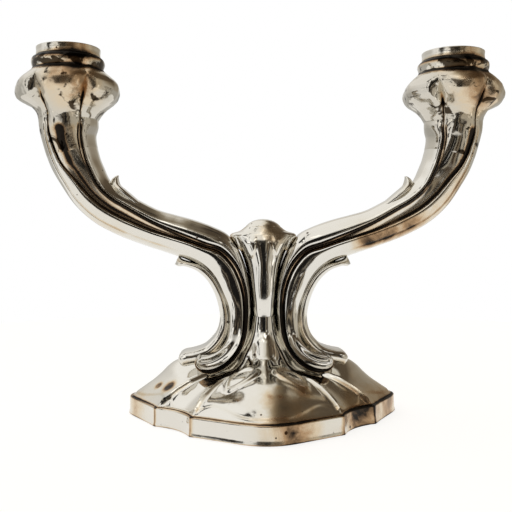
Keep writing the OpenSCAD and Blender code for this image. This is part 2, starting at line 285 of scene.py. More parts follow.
class Graph:
    """A few short calls that lay out a node tree."""

    def __init__(self, tree):
        self.tree = tree

    def node(self, kind, **settings):
        made = self.tree.nodes.new(kind)
        for key, value in settings.items():
            if key in made.inputs:
                made.inputs[key].default_value = value
            else:
                setattr(made, key, value)
        return made

    def link(self, source, target):
        self.tree.links.new(source, target)

    def feed(self, socket, value):
        """Gives a socket a number, a colour or a link."""
        if isinstance(value, tuple):
            socket.default_value = (*value, 1)
        elif isinstance(value, (int, float)):
            socket.default_value = value
        else:
            self.link(value, socket)

    def math(self, operation, a, b=0.0, clamp=False):
        made = self.node("ShaderNodeMath", operation=operation, use_clamp=clamp)
        self.feed(made.inputs[0], a)
        self.feed(made.inputs[1], b)
        return made.outputs[0]

    def scaled(self, value, gain, offset=0.0, clamp=False):
        return self.math("ADD", self.math("MULTIPLY", value, gain), offset, clamp)

    def past(self, value, level, gain, clamp=False):
        """How far a value is past a level, times a gain."""
        return self.math("MULTIPLY", self.math("SUBTRACT", value, level), gain, clamp)

    def ramp(self, factor, stops):
        made = self.node("ShaderNodeValToRGB")
        elements = made.color_ramp.elements
        while len(elements) < len(stops):
            elements.new(0.5)
        for element, (position, colour) in zip(elements, stops):
            element.position = position
            element.color = (*colour, 1)
        self.link(factor, made.inputs[0])
        return made.outputs[0]

    def step(self, factor, low, high, first=0, last=1):
        """first below low, last above high, a straight way between."""
        return self.ramp(factor, [(low, grey(first)), (high, grey(last))])

    def mix(self, lower, upper, factor, blend="MIX"):
        made = self.node("ShaderNodeMix", data_type="RGBA", blend_type=blend)
        self.feed(made.inputs["Factor"], factor)
        self.feed(made.inputs[6], lower)
        self.feed(made.inputs[7], upper)
        return made.outputs[2]

    def noise(self, vector, scale, detail=4.0, roughness=0.55, distortion=0.0):
        settings = {"Scale": scale, "Detail": detail, "Roughness": roughness, "Distortion": distortion}
        made = self.node("ShaderNodeTexNoise", **settings)
        self.link(vector, made.inputs["Vector"])
        return made.outputs["Fac"]

    def bump(self, height, strength, distance, normal=None):
        made = self.node("ShaderNodeBump", Strength=strength, Distance=distance)
        self.link(height, made.inputs["Height"])
        if normal is not None:
            self.link(normal, made.inputs["Normal"])
        return made.outputs["Normal"]


def grey(value):
    return (value, value, value)


def new_material(name):
    material = bpy.data.materials.new(name)
    material.use_nodes = True
    graph = Graph(material.node_tree)
    shader = material.node_tree.nodes["Principled BSDF"]
    place = graph.node("ShaderNodeTexCoord").outputs["Object"]
    return material, graph, shader, place


SOOT, PIT_DIRT = (0.09, 0.075, 0.06), (0.12, 0.09, 0.07)
SOOT_LEVEL, PIT_LEVEL = 0.635, 0.44
SCRATCH_STRETCH = (1.0, 1.0, 0.16)


def silver(name, base, base_roughness, tarnish_and_reflection_gain, pit_gain, soot):
    """Silver plate: bright metal under straw to black tarnish and painted dark reflection, with pits, fine
    scratches and soft ripples.
    """
    material, graph, shader, place = new_material(name)
    shader.inputs["Metallic"].default_value = 1.0
    attribute = graph.node("ShaderNodeAttribute", attribute_name="tarnish_and_reflection", attribute_type="GEOMETRY")
    cloud = graph.noise(place, scale=75, detail=6, roughness=0.62, distortion=0.5)
    fine = graph.noise(place, scale=420, detail=5, roughness=0.6)
    local = graph.math("MULTIPLY", attribute.outputs["Fac"], tarnish_and_reflection_gain)
    amount = graph.math("MULTIPLY", local, graph.scaled(cloud, 1.5, 0.15))
    amount = graph.math("ADD", amount, graph.past(cloud, 0.5, 0.253))
    amount = graph.math("ADD", amount, graph.past(fine, 0.5, 0.12), clamp=True)
    colour = graph.ramp(
        amount,
        [
            (0.0, base),
            (0.16, tuple(c * k for c, k in zip(base, (0.97, 0.955, 0.92)))),
            (0.38, (0.66, 0.55, 0.40)),
            (0.62, (0.44, 0.29, 0.165)),
            (0.82, (0.15, 0.095, 0.055)),
            (0.95, (0.025, 0.02, 0.016)),
        ],
    )
    patch = graph.noise(place, scale=115, detail=3, roughness=0.55, distortion=0.8)
    patch = graph.past(patch, SOOT_LEVEL - soot, 22.0, clamp=True)
    colour = graph.mix(colour, SOOT, patch, "MULTIPLY")
    cells = graph.node("ShaderNodeTexVoronoi", Scale=210.0, Randomness=1.0)
    graph.link(place, cells.inputs["Vector"])
    size = graph.past(graph.noise(place, scale=60, detail=2, roughness=0.5), PIT_LEVEL, pit_gain)
    pit = graph.math("LESS_THAN", cells.outputs["Distance"], size)
    graph.link(graph.mix(colour, PIT_DIRT, pit, "MULTIPLY"), shader.inputs["Base Color"])
    rough = graph.math("ADD", graph.math("MULTIPLY", amount, 0.34), graph.math("MULTIPLY", fine, 0.07))
    graph.link(graph.math("ADD", rough, base_roughness, clamp=True), shader.inputs["Roughness"])
    ripple = graph.bump(graph.noise(place, scale=90, detail=2, roughness=0.4), strength=0.5, distance=0.0003)
    stretched = graph.node("ShaderNodeMapping", Scale=SCRATCH_STRETCH)
    graph.link(place, stretched.inputs["Vector"])
    scratches = graph.noise(stretched.outputs["Vector"], scale=1500, detail=3, roughness=0.7)
    relief = graph.math("ADD", graph.math("MULTIPLY", scratches, 0.25), graph.math("MULTIPLY", fine, 0.35))
    relief = graph.math("SUBTRACT", relief, graph.math("MULTIPLY", pit, 0.8))
    graph.link(graph.bump(relief, strength=0.35, distance=0.00005, normal=ripple), shader.inputs["Normal"])
    return material


def plain_metal(name, dark, light, roughness, scale):
    """Unplated metal for the hidden works: mottled colour, brushed roughness and a fine bump."""
    material, graph, shader, place = new_material(name)
    shader.inputs["Metallic"].default_value = 1.0
    mottle = graph.noise(place, scale, detail=6, roughness=0.65)
    graph.link(graph.ramp(mottle, [(0.3, dark), (0.7, light)]), shader.inputs["Base Color"])
    graph.link(graph.scaled(mottle, 0.25, roughness), shader.inputs["Roughness"])
    grain = graph.noise(place, scale * 6, detail=4, roughness=0.7)
    graph.link(graph.bump(grain, strength=0.4, distance=0.0002), shader.inputs["Normal"])
    return material


def felt_material():
    material, graph, shader, place = new_material("felt")
    shader.inputs["Sheen Weight"].default_value = 0.5
    shader.inputs["Roughness"].default_value = 0.95
    fibres = graph.noise(place, scale=900, detail=6, roughness=0.75, distortion=2.0)
    green = graph.ramp(fibres, [(0.3, (0.02, 0.055, 0.03)), (0.7, (0.07, 0.15, 0.09))])
    graph.link(green, shader.inputs["Base Color"])
    graph.link(graph.bump(fibres, strength=0.8, distance=0.0004), shader.inputs["Normal"])
    return material


# Colour, roughness, gain of the tarnish and painted dark reflection, gain of the pits, share of soot
plate = silver("silver_plate", (0.73, 0.71, 0.66), 0.04, 0.62, 0.55, -0.12)
worn_plate = silver("worn_plate", (0.72, 0.695, 0.64), 0.05, 0.85, 0.7, -0.08)
socket_plate = silver("socket_plate", (0.61, 0.58, 0.52), 0.05, 0.95, 0.5, 0.04)
# Collars: a darker base and more soot, partly tarnish and partly a painted dark reflection
reflection_darkened_plate = silver("reflection_darkened_plate", (0.66, 0.63, 0.57), 0.04, 0.75, 0.8, 0.16)
brass = plain_metal("brass", (0.42, 0.29, 0.12), (0.72, 0.55, 0.28), 0.28, 160)
steel = plain_metal("steel", (0.30, 0.30, 0.31), (0.56, 0.56, 0.57), 0.32, 220)
iron = plain_metal("ballast_iron", (0.05, 0.05, 0.05), (0.16, 0.15, 0.14), 0.6, 120)
felt = felt_material()


# ---- arms ----

# Each row is a place along the arm, from the socket to the eye of the big volute:
# under edge x, under edge z, upper edge x, upper edge z, half depth
ARM_ROWS = [
    [115.2, 150.5, 84.8, 150.5, 14.8],
    [112.4, 138, 86.3, 142, 14],
    [108.6, 126.5, 84.6, 133, 13.2],
    [103, 116.5, 82.4, 127, 12.6],
    [96, 106.5, 78.8, 119.6, 12],
    [86.5, 98, 72.8, 114.4, 11.6],
    [74.5, 91.5, 65.4, 110.2, 11.4],
    [61, 86.3, 54.4, 104.6, 11.2],
    [51, 83, 45, 101.8, 11],
    [42, 79.8, 36, 99.4, 11],
    [33.9, 76.2, 26.4, 96, 11],
    [28.4, 72, 18.2, 91.6, 11],
    [24.4, 66.8, 12.4, 83.6, 11],
    [21.5, 61, 9, 75, 11.4],
    [19.2, 55.6, 6.7, 65.5, 11.8],
    [18.4, 51.4, 6, 56, 12.4],
    [18.2, 46.8, 6.3, 48.5, 13.4],
    [18.4, 42.8, 7, 42, 14.8],
    [19.4, 38.8, 8.6, 36.8, 16.6],
    [21.4, 35.6, 11.6, 31.8, 18],
    [24.2, 33.4, 15.8, 27.2, 19.2],
    [27.2, 32.1, 20.8, 24, 20],
    [29.4, 31.6, 26.2, 22.5, 20.4],
    [31, 31.3, 30.8, 23.1, 20.5],
    [31.8, 31, 33.6, 25.2, 20.3],
    [32.1, 30.9, 34.7, 27.8, 19.8],
    [32, 31, 34.2, 30, 19],
    [31.6, 31.2, 32.5, 31.4, 18],
]
# Where the mouldings meet on the arm's face, from -1 at the upper edge to 1 at the under edge:
# band to rib, rib to flute, flute to broad strip; then the depths of the three grooves,
# the height of the rib and how hollow the flute is, in mm
MOULDING_ROWS = [
    [-0.62, -0.52, 0.58, 0.6, 0.9, 1.2, 0.4, -0.7],
    [-0.60, -0.50, 0.52, 0.9, 1.2, 1.6, 0.5, -0.4],
    [-0.56, -0.46, 0.44, 1.1, 1.5, 2.0, 0.5, 0.3],
    [-0.52, -0.44, 0.26, 1.1, 1.6, 2.4, 0.5, 0.7],
    [-0.50, -0.41, 0.12, 1.1, 1.6, 2.6, 0.6, 0.8],
    [-0.47, -0.38, 0.10, 1.1, 1.6, 2.6, 0.6, 0.8],
    [-0.44, -0.35, 0.10, 1.1, 1.6, 2.6, 0.6, 0.8],
    [-0.34, -0.25, 0.09, 1.1, 1.6, 2.6, 0.6, 0.7],
    [-0.22, -0.12, 0.10, 1.0, 1.5, 2.5, 0.6, 0.5],
    [-0.14, -0.03, 0.10, 1.0, 1.5, 2.4, 0.6, 0.3],
    [-0.14, -0.05, 0.06, 1.0, 1.6, 2.4, 0.5, 0.2],
    [-0.30, -0.22, -0.12, 1.1, 1.7, 2.4, 0.4, 0.2],
    [-0.46, -0.38, -0.26, 1.2, 1.9, 2.4, 0.4, 0.2],
    [-0.58, -0.49, -0.36, 1.3, 2.0, 2.4, 0.4, 0.2],
    *[[-0.62, -0.52, -0.38, 1.4, 2.1, 2.4, 0.4, 0.2]] * 4,
    [-0.64, -0.53, -0.40, 1.3, 2.0, 2.3, 0.4, 0.2],
    [-0.66, -0.55, -0.42, 1.2, 1.8, 2.2, 0.4, 0.2],
    [-0.68, -0.57, -0.44, 1.1, 1.6, 2.0, 0.4, 0.2],
    [-0.70, -0.59, -0.46, 0.9, 1.3, 1.7, 0.4, 0.2],
    [-0.72, -0.61, -0.48, 0.6, 0.9, 1.2, 0.3, 0.1],
    [-0.72, -0.62, -0.50, 0.4, 0.5, 0.7, 0.2, 0],
    [-0.72, -0.62, -0.50, 0.3, 0.3, 0.4, 0.1, 0],
    [-0.72, -0.62, -0.50, 0.2, 0.2, 0.3, 0, 0],
    [-0.72, -0.62, -0.50, 0.1, 0.1, 0.1, 0, 0],
    [-0.72, -0.62, -0.50, 0, 0, 0, 0, 0],
]
# How deep the broad strip is dished between its edges, by arm row, in mm
DISH_DEPTHS = [0] * 14 + [0.1, 0.3, 0.6, 1.0, 1.4, 1.9, 2.4, 2.7, 2.7, 2.3, 1.6, 0.9, 0.3, 0]
ARM_STATIONS = 520
BAND_POINTS, RIB_POINTS, FLUTE_POINTS, STRIP_POINTS, INNER_POINTS = 26, 12, 22, 56, 15
# How steeply the band and the strip drop into the grooves beside them
BAND_DROP, STRIP_DROP = 7, 15.4
# Where a fine engraved line runs near the under edge, its depth and its width in mm
EDGE_LINE, EDGE_LINE_DEPTH, EDGE_LINE_WIDTH = 0.70, 0.75, 0.5
# The arm rows between which the engraving and the flute's tarnish and painted dark reflection streak fade out
ENGRAVED_END = (7.5, 9.5)
# Tarnish in the grooves and its width in mm, then the strength of a painted dark reflection streak in the
# flute
GROOVE_DIRT, GROOVE_DIRT_WIDTH, FLUTE_REFLECTION_STREAK = 2.2, 0.42, 1.5
# On each side: tarnish all over the flute, then the place, from rib (0) to strip (1), and width of its
# painted dark reflection streak
FLUTE_TARNISH_AND_REFLECTION = {LEFT: (0.34, 0.6, 0.13), RIGHT: (0.0, 0.9, 0.10)}
WALL = 1.4


def arm_face(n, power):
    """Share of the full depth at each place across a squarish half oval."""
    return np.maximum(0, 1 - np.abs(n) ** power) ** (1 / power)


def arm_section(moulding, dish, depth, half_width, power, engraved, side):
    """Place across the arm, depth in mm, and tarnish with painted dark reflection at each point of one
    section.
    """
    band_end, rib_end, flute_end, cut_band, cut_rib, cut_strip, rib_height, hollow = moulding
    q = np.linspace(0, 1, BAND_POINTS, endpoint=False)
    band_q = np.where(q < 0.5, 0.7 * (1 - np.cos(q * math.pi / 2)), 1 - (1 - q) * 0.795)
    band_q = np.maximum.accumulate(band_q)
    band_n = -1 + (band_end + 1) * band_q
    band_y = -cut_band * band_q**BAND_DROP
    q = np.sin(np.linspace(-1, 1, RIB_POINTS, endpoint=False) * math.pi / 2)
    rib_n = band_end + (rib_end - band_end) * (q + 1) / 2
    bulge = rib_height + (cut_band + cut_rib) / 2
    rib_y = -cut_band + (cut_band - cut_rib) * (q + 1) / 2 + bulge * np.sqrt(1 - q**2)
    q = np.sin(np.linspace(-1, 1, FLUTE_POINTS, endpoint=False) * math.pi / 2)
    flute_n = rib_end + (flute_end - rib_end) * (q + 1) / 2
    flute_y = -cut_rib + (cut_rib - cut_strip) * ((q + 1) / 2) ** 2 - hollow * (1 - q**2)
    q = np.linspace(0, 1, STRIP_POINTS)
    strip_q = np.where(q < 0.4, 0.2 * (q / 0.4) ** 1.35, 0.2 + 0.8 * np.sin((q - 0.4) / 0.6 * math.pi / 2))
    strip_n = flute_end + (1 - flute_end) * strip_q
    dished = np.sin(np.clip((strip_q - 0.12) / 0.76, 0, 1) * math.pi) ** 0.8
    strip_y = -cut_strip * (1 - strip_q) ** STRIP_DROP - dish * dished
    n = np.concatenate([band_n, rib_n, flute_n, strip_n])
    relief = np.concatenate([band_y, rib_y, flute_y, strip_y]) * np.clip((1 - np.abs(n)) / 0.12, 0, 1)
    line = engraved * bell((n - EDGE_LINE) * half_width, EDGE_LINE_WIDTH)
    y = depth * arm_face(n, power) + relief - EDGE_LINE_DEPTH * line
    dark_marks = 0.4 * line
    for place, cut in ((band_end, cut_band), (rib_end, cut_rib), (flute_end, cut_strip)):
        dark_marks = dark_marks + GROOVE_DIRT * np.clip(cut, 0, 1.2) * bell((n - place) * half_width, GROOVE_DIRT_WIDTH)
    across = (n - rib_end) / (flute_end - rib_end)
    in_flute = ease(across, 0, 0.15) * (1 - ease(across, 0.85, 1))
    tarnish_and_reflection, reflection_streak_at, reflection_streak_width = FLUTE_TARNISH_AND_REFLECTION[side]
    # Tarnish all over the flute, and a painted dark reflection streak along it
    dark_marks = dark_marks + engraved * (tarnish_and_reflection * in_flute + FLUTE_REFLECTION_STREAK * bell(across - reflection_streak_at, reflection_streak_width))
    return n, np.maximum(y, 0), dark_marks


# The arm's own shell ends at this row, inside the calyx, whose skin runs on down to its own last row
ARM_SHELL_START, CALYX_SKIN_END = 1.35, 1.75


def face_power(t):
    """How square the arm is: round under the socket, fuller at the column, flat-faced at the volute."""
    return 2.3 + 1.3 * ease(t, 9, 13) + 4.5 * ease(t, 17.5, 21)


def arm_line(t, side):
    """At each station: half depth; places, depths, and tarnish with painted dark reflection of the section;
    its middle and half width.
    """
    dishes = along([[depth] for depth in DISH_DEPTHS], t)[:, 0]
    for place, row, moulding, dish in zip(t, along(ARM_ROWS, t), along(MOULDING_ROWS, t), dishes):
        middle, half = (row[0:2] + row[2:4]) / 2, (row[0:2] - row[2:4]) / 2
        width, engraved = np.linalg.norm(half), 1 - ease(place, *ENGRAVED_END)
        n, y, groove_tarnish_and_reflection = arm_section(moulding, dish, row[4], width, face_power(place), engraved, side)
        yield row[4], n, y, groove_tarnish_and_reflection, middle, half


def arm_half(name, side, face):
    """One pressed half of an arm with its big volute: a moulded outer face and a plain inner one."""
    t = np.linspace(ARM_SHELL_START, len(ARM_ROWS) - 1, ARM_STATIONS)
    grid, darkness = [], []
    for depth, n, y, groove_tarnish_and_reflection, middle, half in arm_line(t, side):
        keep = max(0.3, 1 - WALL / np.linalg.norm(half))
        inner_n = np.cos(np.linspace(0, math.pi, INNER_POINTS)) * keep
        inner_y = np.maximum(0, depth - WALL - 2.5) * arm_face(inner_n / keep, 2.3)
        all_n, all_y = np.concatenate([n, inner_n]), np.concatenate([y, inner_y])
        xz = middle + half * all_n[:, None]
        grid.append(np.stack([xz[:, 0], -all_y, xz[:, 1]], -1))
        # Outer face: groove tarnish and the flute's painted dark reflection streak; inner face: plain tarnish
        darkness.append(np.concatenate([groove_tarnish_and_reflection * 1.1, np.full(INNER_POINTS, 0.4)]))
    grid = np.array(grid)
    outer = grid[:, : len(n)]
    ripple = 0.12 * waves(outer * [side, -face, 1], 26, 11) * ease(t, 1.8, 2.8)[:, None]
    outer[..., 1] -= ripple * (np.abs(outer[..., 1]) > 1)
    return grid_piece(name, grid, np.array(darkness), side=side, face=face, sharp_at=[0, len(n) - 1])


# ---- the C strip behind each arm: lower leaf, strip and small volute ----

# under edge x, under edge z, arm edge x, arm edge z, half depth
C_ROWS = [
    [45.6, 76.0, 43.4, 80.9, 3.4],
    [43.6, 75.2, 41.8, 79.4, 5.6],
    [40.2, 75.3, 38.4, 78.2, 7.2],
    [34.4, 73.1, 31.6, 76.2, 8.2],
    [29.2, 68.4, 25.4, 71.2, 8.8],
    [25.6, 62.2, 21, 64, 9],
    [23.6, 55.8, 18.2, 56.8, 9],
    [22.8, 50.4, 16.8, 50.8, 9.2],
    [23.3, 45.4, 16.8, 44.4, 9.4],
    [25.1, 41, 18.8, 38, 9.8],
    [27.8, 37.6, 22, 33, 10],
    [31.2, 34.9, 26, 29, 10],
    [36.4, 33.3, 31, 25.6, 9.8],
    [41, 32.4, 36, 24.4, 9.4],
    [43.3, 30.6, 38.4, 24.4, 9.1],
    [43.7, 28.4, 38.9, 24.6, 8.9],
    [42.7, 26.2, 39, 24.8, 8.7],
    [41.2, 25.2, 39.2, 25.0, 8.5],
]
C_STATIONS, C_RING = 220, 72


def c_strip(name, side):
    t = np.linspace(0, len(C_ROWS) - 1, C_STATIONS)
    n, y = oval(C_RING, 0.86, 0.74)
    edge_bead = 0.16 * bell(np.abs(y) - 0.84, 0.13) * (n > 0)
    hollow = -0.12 * (1 - np.abs(y) ** 2) * (n > 0.2)
    grid = lofted(along(C_ROWS, t), (n + edge_bead + hollow)[None, :], y)
    darkness = 0.25 * ease(t, 12, 17)[:, None] + 0.5 * bell(n + 0.2, 0.3)[None, :]
    return grid_piece(name, grid, darkness, side=side, face=BACK, sharp_angle=60)


# ---- the upper leaf: a curled tip that lifts off the top of the arm ----

# under edge x, under edge z, upper edge x, upper edge z, half depth
UPPER_LEAF_ROWS = [
    [57.6, 101.0, 56.8, 103.6, 5.4],
    [63.8, 105.4, 62.8, 108.2, 6.6],
    [69.3, 109.4, 67.8, 112.4, 7.3],
    [74.2, 113.2, 71.4, 115.8, 7],
    [77.6, 116.6, 73.2, 117.8, 5.6],
    [77.4, 119.8, 74, 119.8, 3.9],
    [76, 121.6, 74.4, 121.2, 2.3],
    [74.9, 122.3, 74.3, 122.1, 0.9],
]
LEAF_STATIONS, LEAF_RING = 110, 64


def upper_leaf(name, side):
    n, y = oval(LEAF_RING, 0.8, 0.7)
    cup = 0.44 * (1 - np.abs(y) ** 1.6) * ease(np.linspace(0, 1, LEAF_STATIONS), 0.25, 0.6)[:, None]
    grid = lofted(resampled(UPPER_LEAF_ROWS, LEAF_STATIONS), n[None, :] + cup, y)
    return grid_piece(name, grid, 0.15, side=side, face=BACK, sharp_angle=80)


# ---- calyx: a bell of four lobes, narrow to the front and back and broad to the sides ----

# Height above the arm's end, then the radius of the outer, inner and front lobes and of the valleys, in mm
CALYX_ROWS = [
    [0.5, 15.0, 15.1, 14.6, 13.4],
    [3.0, 15.6, 16.5, 15.1, 13.7],
    [5.0, 16.8, 18.0, 16.0, 14.3],
    [6.6, 18.2, 19.6, 16.9, 14.8],
    [8.2, 21.2, 21.9, 18.1, 15.3],
    [9.8, 24.0, 24.0, 19.5, 15.9],
    [12.0, 25.6, 25.4, 21.3, 17.0],
    [15.0, 26.1, 26.0, 22.9, 18.8],
    [18.4, 25.3, 25.2, 23.2, 21.0],
    [21.0, 23.4, 23.3, 22.2, 21.3],
    [23.4, 20.6, 20.6, 20.1, 19.8],
    [25.2, 18.3, 18.3, 18.1, 18.0],
    [26.6, 17.4, 17.4, 17.4, 17.2],
    [27.6, 17.2, 17.2, 17.2, 17.0],
]
CALYX_LEVELS, CALYX_BLEND_LEVELS = 120, 50
# Degrees from the axis at which the front and side lobes meet; then how far past that the side lobes' lip
# stands, and its height in mm
CREASE, LIP_PAST, LIP_HEIGHT = 36, 9.5, 0.9
CALYX_DENTS = [(0.30, 17, 23), (0.16, 7.5, 31), (0.06, 3.4, 37)]
# How far the skin stands off the arm, and how far it sinks again at its end, in mm
SKIN_LIFT, SKIN_SINK = 0.06, 0.14


def calyx_radius(bearing, row):
    """Radius at each bearing, in degrees from the front, positive towards the outer side."""
    _, outer, inner, front, valley = row
    from_axis = np.abs((bearing + 90) % 180 - 90)
    in_front = from_axis < CREASE
    crest = np.where(in_front, front, np.where(np.sin(np.radians(bearing)) > 0, outer, inner))
    q = np.where(in_front, from_axis / CREASE, (90 - from_axis) / (90 - CREASE))
    front_rise, side_rise = (np.clip(1 - np.abs(q) ** p, 0, 1) ** k for p, k in ((2.4, 0.75), (3.0, 0.62)))
    lip = LIP_HEIGHT * bell(from_axis - CREASE - LIP_PAST, 5) * np.clip((crest - valley) / 8, 0, 1) ** 2
    return valley + (crest - valley) * np.where(in_front, front_rise, side_rise) + lip * ~in_front


def calyx_ring(bearing, row, x, z):
    radius, turn = calyx_radius(bearing, row), np.radians(bearing)
    return np.stack([x + radius * np.sin(turn), -radius * np.cos(turn), np.full(len(bearing), z)], -1)


def calyx(name, side):
    """The bell, and the skin that it runs down in over the end of the arm."""
    rings, darkness = [], []
    blend = np.linspace(CALYX_SKIN_END, 0, CALYX_BLEND_LEVELS, endpoint=False)
    for t, (_, n, y, groove_tarnish_and_reflection, middle, half) in zip(blend, arm_line(blend, side)):
        bearing = np.degrees(np.arcsin(np.clip(n, -1, 1)))
        lift = SKIN_LIFT - SKIN_SINK * float(ease(t, 1.5, CALYX_SKIN_END))
        xz = middle + half * n[:, None] * (1 + lift / np.linalg.norm(half))
        arm = np.stack([xz[:, 0], -np.maximum(0, y + lift), xz[:, 1]], -1)
        weight = ease(CALYX_SKIN_END - t, 0.8, CALYX_SKIN_END)
        rings.append(arm * (1 - weight) + calyx_ring(bearing, CALYX_ROWS[0], *middle) * weight)
        dark = 1.7 * weight * bell(np.abs(bearing) - CREASE, 1.2)
        # The arm's groove tarnish and painted dark reflection streak fade out up the skin; tarnish in the
        # creases
        darkness.append(groove_tarnish_and_reflection * 1.1 * (1 - float(ease(weight, 0.3, 0.95))) + dark)
    n = next(arm_line(np.array([0.0]), side))[1]
    bearing = np.degrees(np.arcsin(n))
    for row in resampled(CALYX_ROWS, CALYX_LEVELS):
        rings.append(calyx_ring(bearing, row, SOCKET_X, CALYX_BASE + row[0]))
        dark = 1.6 * bell(np.abs(bearing) - CREASE, 1.1) * (1 - ease(row[0], 8, 15))
        darkness.append(dark + 1.5 * bell(row[0] - 26.2, 1.6))
    rings, darkness = np.array(rings), np.array(darkness)
    rings[..., 1] = np.minimum(rings[..., 1], 0)
    grid = np.concatenate([rings, rings[:, -2:0:-1] * [1, -1, 1]], 1)
    darkness = np.concatenate([darkness, darkness[:, -2:0:-1]], 1)
    dents = dented(grid * [side, 1, 1], CALYX_DENTS) * ease(grid[..., 2], CALYX_BASE - 13, CALYX_BASE + 5)
    grid = grid + outward(grid, SOCKET_X) * dents[..., None]
    return grid_piece(name, grid, darkness, side=side, face=BACK, sharp_angle=60)


# Radius and height above its base, up the outside of the collar
COLLAR_ROWS = [[17.0, -0.4], [17.2, 0.6], [17.6, 1.7], [18.1, 3.0], [COLLAR_R, 4.3]]
COLLAR_ROWS += [[18.3, 5.3], [17.9, 6.2], [17.2, 6.9], [16.5, 7.2], [16.2, COLLAR_TOP - COLLAR_BASE]]


def collar(name, side):
    skin = resampled(COLLAR_ROWS, 40) + [0, COLLAR_BASE]
    profile = np.vstack([skin, [[LINER_R + 0.1, COLLAR_TOP], [LINER_R + 0.1, COLLAR_BASE - 0.4]]])
    height = profile[:, 1]
    # Tarnish where the collar meets the calyx, and a broad dark band over its top, partly tarnish and partly
    # painted dark reflection
    darkness = 1.9 * bell(height - COLLAR_BASE - 0.3, 0.9) + 2.0 * bell(height - COLLAR_TOP + 0.5, 1.9)
    return lathe_piece(name, profile, SOCKET_X, 0.16, darkness, side=side)


FLANGE = COLLAR_TOP + 0.06
BAND_WALL, BAND_WAIST, CUP_FLOOR, NOZZLE_ROUNDING = 1.1, 0.25, 1.0, 0.45


def nozzle(name, side):
    corners = [
        [0.05, NOZZLE_FLOOR],
        [NOZZLE_TUBE_R, NOZZLE_FLOOR],
        [NOZZLE_TUBE_R, FLANGE],
        [BAND_R, FLANGE],
        [BAND_R - BAND_WAIST, (FLANGE + BAND_TOP) / 2],
        [BAND_R, BAND_TOP],
        [BAND_R - BAND_WALL, BAND_TOP],
        [BAND_R - BAND_WALL - 0.1, FLANGE + CUP_FLOOR],
        [CANDLE_BORE_R, FLANGE + CUP_FLOOR],
        [CANDLE_BORE_R, NOZZLE_FLOOR + CUP_FLOOR],
        [0.05, NOZZLE_FLOOR + CUP_FLOOR],
    ]
    profile = rounded(corners, NOZZLE_ROUNDING)
    darkness = 0.5 * bell(profile[:, 1] - FLANGE, 0.9) + 0.8 * (profile[:, 0] < CANDLE_BORE_R + 0.2)
    return lathe_piece(name, profile, SOCKET_X, 0.07, darkness, side=side)


# ---- foot ----

# Outline of the top of the rim, from the front centre to the side centre, in three runs that meet at corners
LOBE_FRONT = [[0, 63.7], [5, 63.1], [10.4, 61.2], [16, 58.2], [22, 54.6], [28.4, 50.8], [34.9, 47.4]]
LOBE_PANEL = [[34.9, 47.4], [37.2, 42.2], [40.4, 37.4], [44.4, 33.4], [48.8, 30.4], [52.5, 29]]
LOBE_SIDE = [[52.5, 29], [55.4, 23.6], [59, 17.6], [62.8, 11.6], [66, 6.2], [67.6, 2.4], [68.0, 0]]
RUN_POINTS = 40


def quarter_outline(runs):
    """Points of the three runs; the first and the last cross their mirror lines smoothly."""
    front, panel, side = (np.array(run, float) for run in runs)
    front = np.vstack([front[:0:-1] * [-1, 1], front])
    side = np.vstack([side, side[-2::-1] * [1, -1]])
    front = along(front, np.linspace((len(front) - 1) / 2, len(front) - 1, RUN_POINTS))
    side = along(side, np.linspace(0, (len(side) - 1) / 2, RUN_POINTS))
    return np.vstack([front[:-1], resampled(panel, RUN_POINTS)[:-1], side])


def full_outline(quarter):
    """The closed outline from its quarter that runs from the front centre (x 0) to the side centre (y 0)."""
    turned = [quarter * [1, -1], quarter[-2::-1], quarter[1:] * [-1, 1], quarter[-2:0:-1] * [-1, -1]]
    return np.vstack(turned)


def corner_distance(count_quarter):
    """At each point of the outline: steps to the nearest corner, and its share in a panel and in a lobe."""
    steps = np.arange(count_quarter)
    first, second, last = RUN_POINTS - 1, 2 * (RUN_POINTS - 1), count_quarter - 1
    nearest = np.minimum(np.abs(steps - first), np.abs(steps - second))
    in_panel = (steps >= first) & (steps <= second)
    panel = np.where(in_panel, np.sin((steps - first) / (second - first) * math.pi), 0.0)
    front = np.where(steps < first, np.cos(steps / first * math.pi / 2), 0.0)
    lobe = np.where(steps > second, np.cos((last - steps) / (last - second) * math.pi / 2), front)

    def whole(values):
        return np.concatenate([values, values[-2::-1], values[1:], values[-2:0:-1]])

    return whole(nearest), whole(np.clip(panel, 0, 1)), whole(np.clip(lobe, 0, 1))


QUARTER = quarter_outline([LOBE_FRONT, LOBE_PANEL, LOBE_SIDE])
OUTLINE = full_outline(QUARTER)
TO_CORNER, IN_PANEL, IN_LOBE = corner_distance(len(QUARTER))

# Way in from the rim (0) to the column (1), then the height of the front lobes, the side lobes and the
# corner panels, in mm
DOME_ROWS = [
    [0.000, 9.4, 9.4, 9.4],
    [0.030, 10.7, 10.5, 10.5],
    [0.070, 12.8, 12.1, 12.1],
    [0.120, 15.1, 14.2, 14.1],
    [0.180, 17.5, 16.7, 16.1],
    [0.240, 19.6, 19.8, 17.7],
    [0.300, 21.4, 23.4, 19.2],
    [0.360, 22.9, 26.0, 20.4],
    [0.440, 24.6, 28.0, 21.8],
    [0.520, 26.0, 29.0, 22.9],
    [0.600, 27.4, 29.6, 24.0],
    [0.700, 29.4, 30.5, 26.2],
    [0.780, 31.5, 31.8, 29.2],
    [0.852, 34.8, 34.9, 33.8],
    [0.923, 38.7, 38.7, 38.3],
    [0.966, 42.6, 42.6, 42.4],
    [0.986, 46.4, 46.4, 46.3],
    [1.000, 50.5, 50.5, 50.5],
]
DOME_LEVELS, DOME_LINING_LEVELS = 150, 8
# Half width and half depth of the opening under the column, and how square it is
DOME_TOP, DOME_TOP_SQUARE = (6.4, 13.45), 0.74
# How many degrees the corner ridges swing towards the front on their way up
CORNER_TURN = 16
RIDGE_HEIGHT, RIDGE_WIDTH, PANEL_DIP = 1.3, 1.15, 1.2
